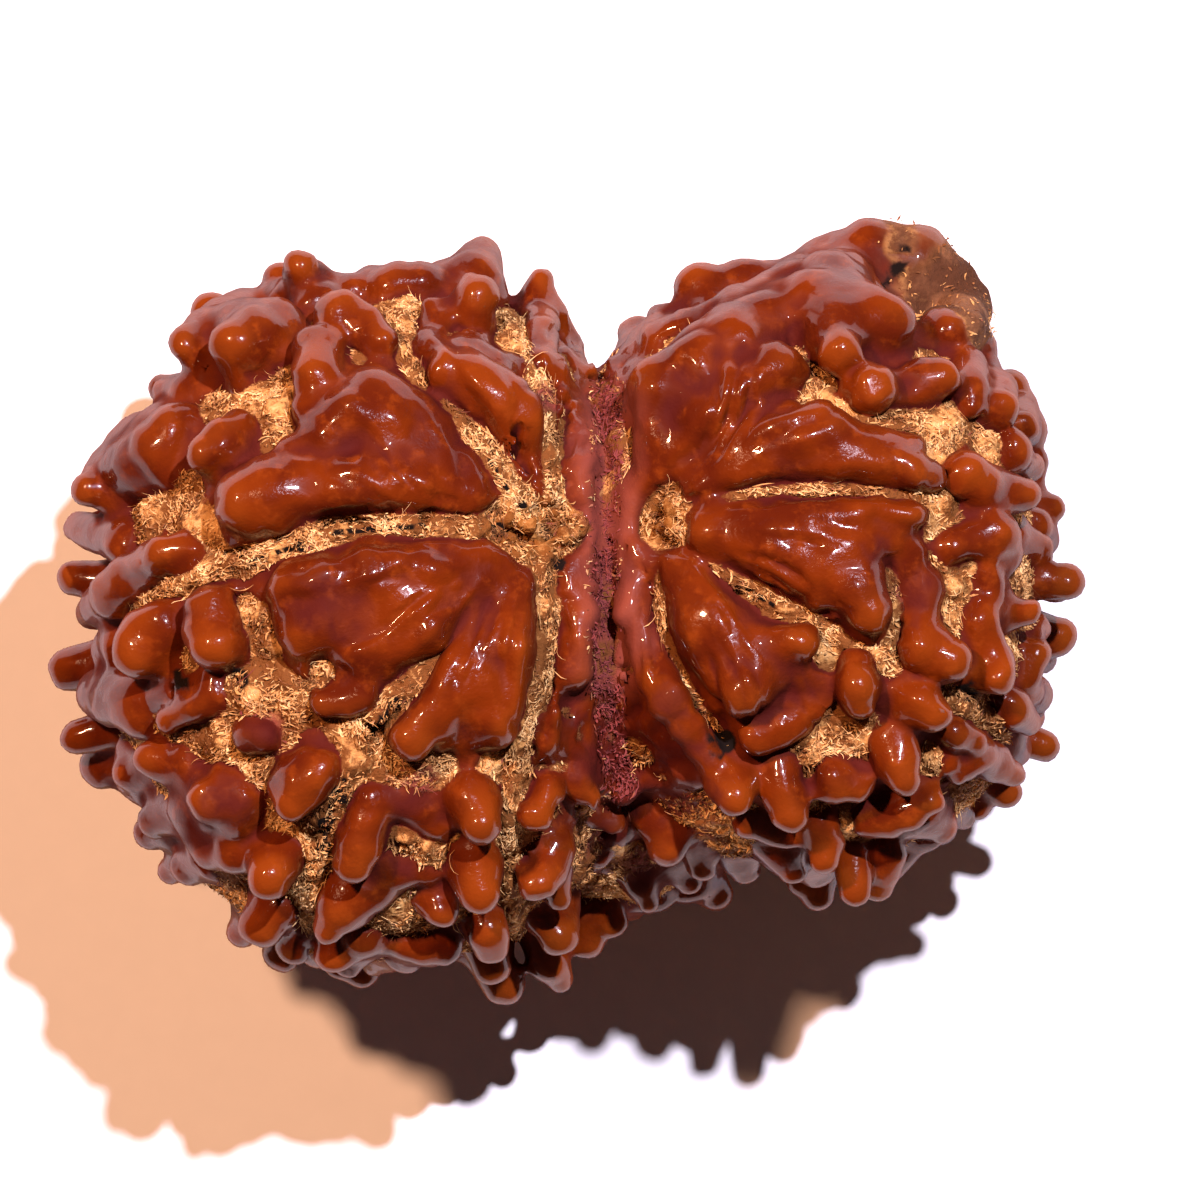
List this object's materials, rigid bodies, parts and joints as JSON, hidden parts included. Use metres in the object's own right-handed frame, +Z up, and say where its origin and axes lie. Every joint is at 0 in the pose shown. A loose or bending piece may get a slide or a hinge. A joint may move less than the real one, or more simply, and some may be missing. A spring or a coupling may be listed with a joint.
{
  "type": "gauri shankar ganesh rudraksha",
  "caption": "Twin rudraksha bead: two knobbly fruit stones grown together side by side, with a trunk-like outgrowth on one lobe.",
  "frame": {"origin": "middle of the bead's bounding box, on the surface it rests on", "axes": "+X across both lobes towards the lobe with the outgrowth, +Y along the seam towards the outgrowth's end, +Z up, the way both stem pits face"},
  "size_m": [0.0382, 0.0288, 0.0231],
  "materials": {
    "bead_skin": "gloss"
  },
  "bodies": {
    "root": {"twin_bead": "bead_skin"}
  },
  "joints": []
}
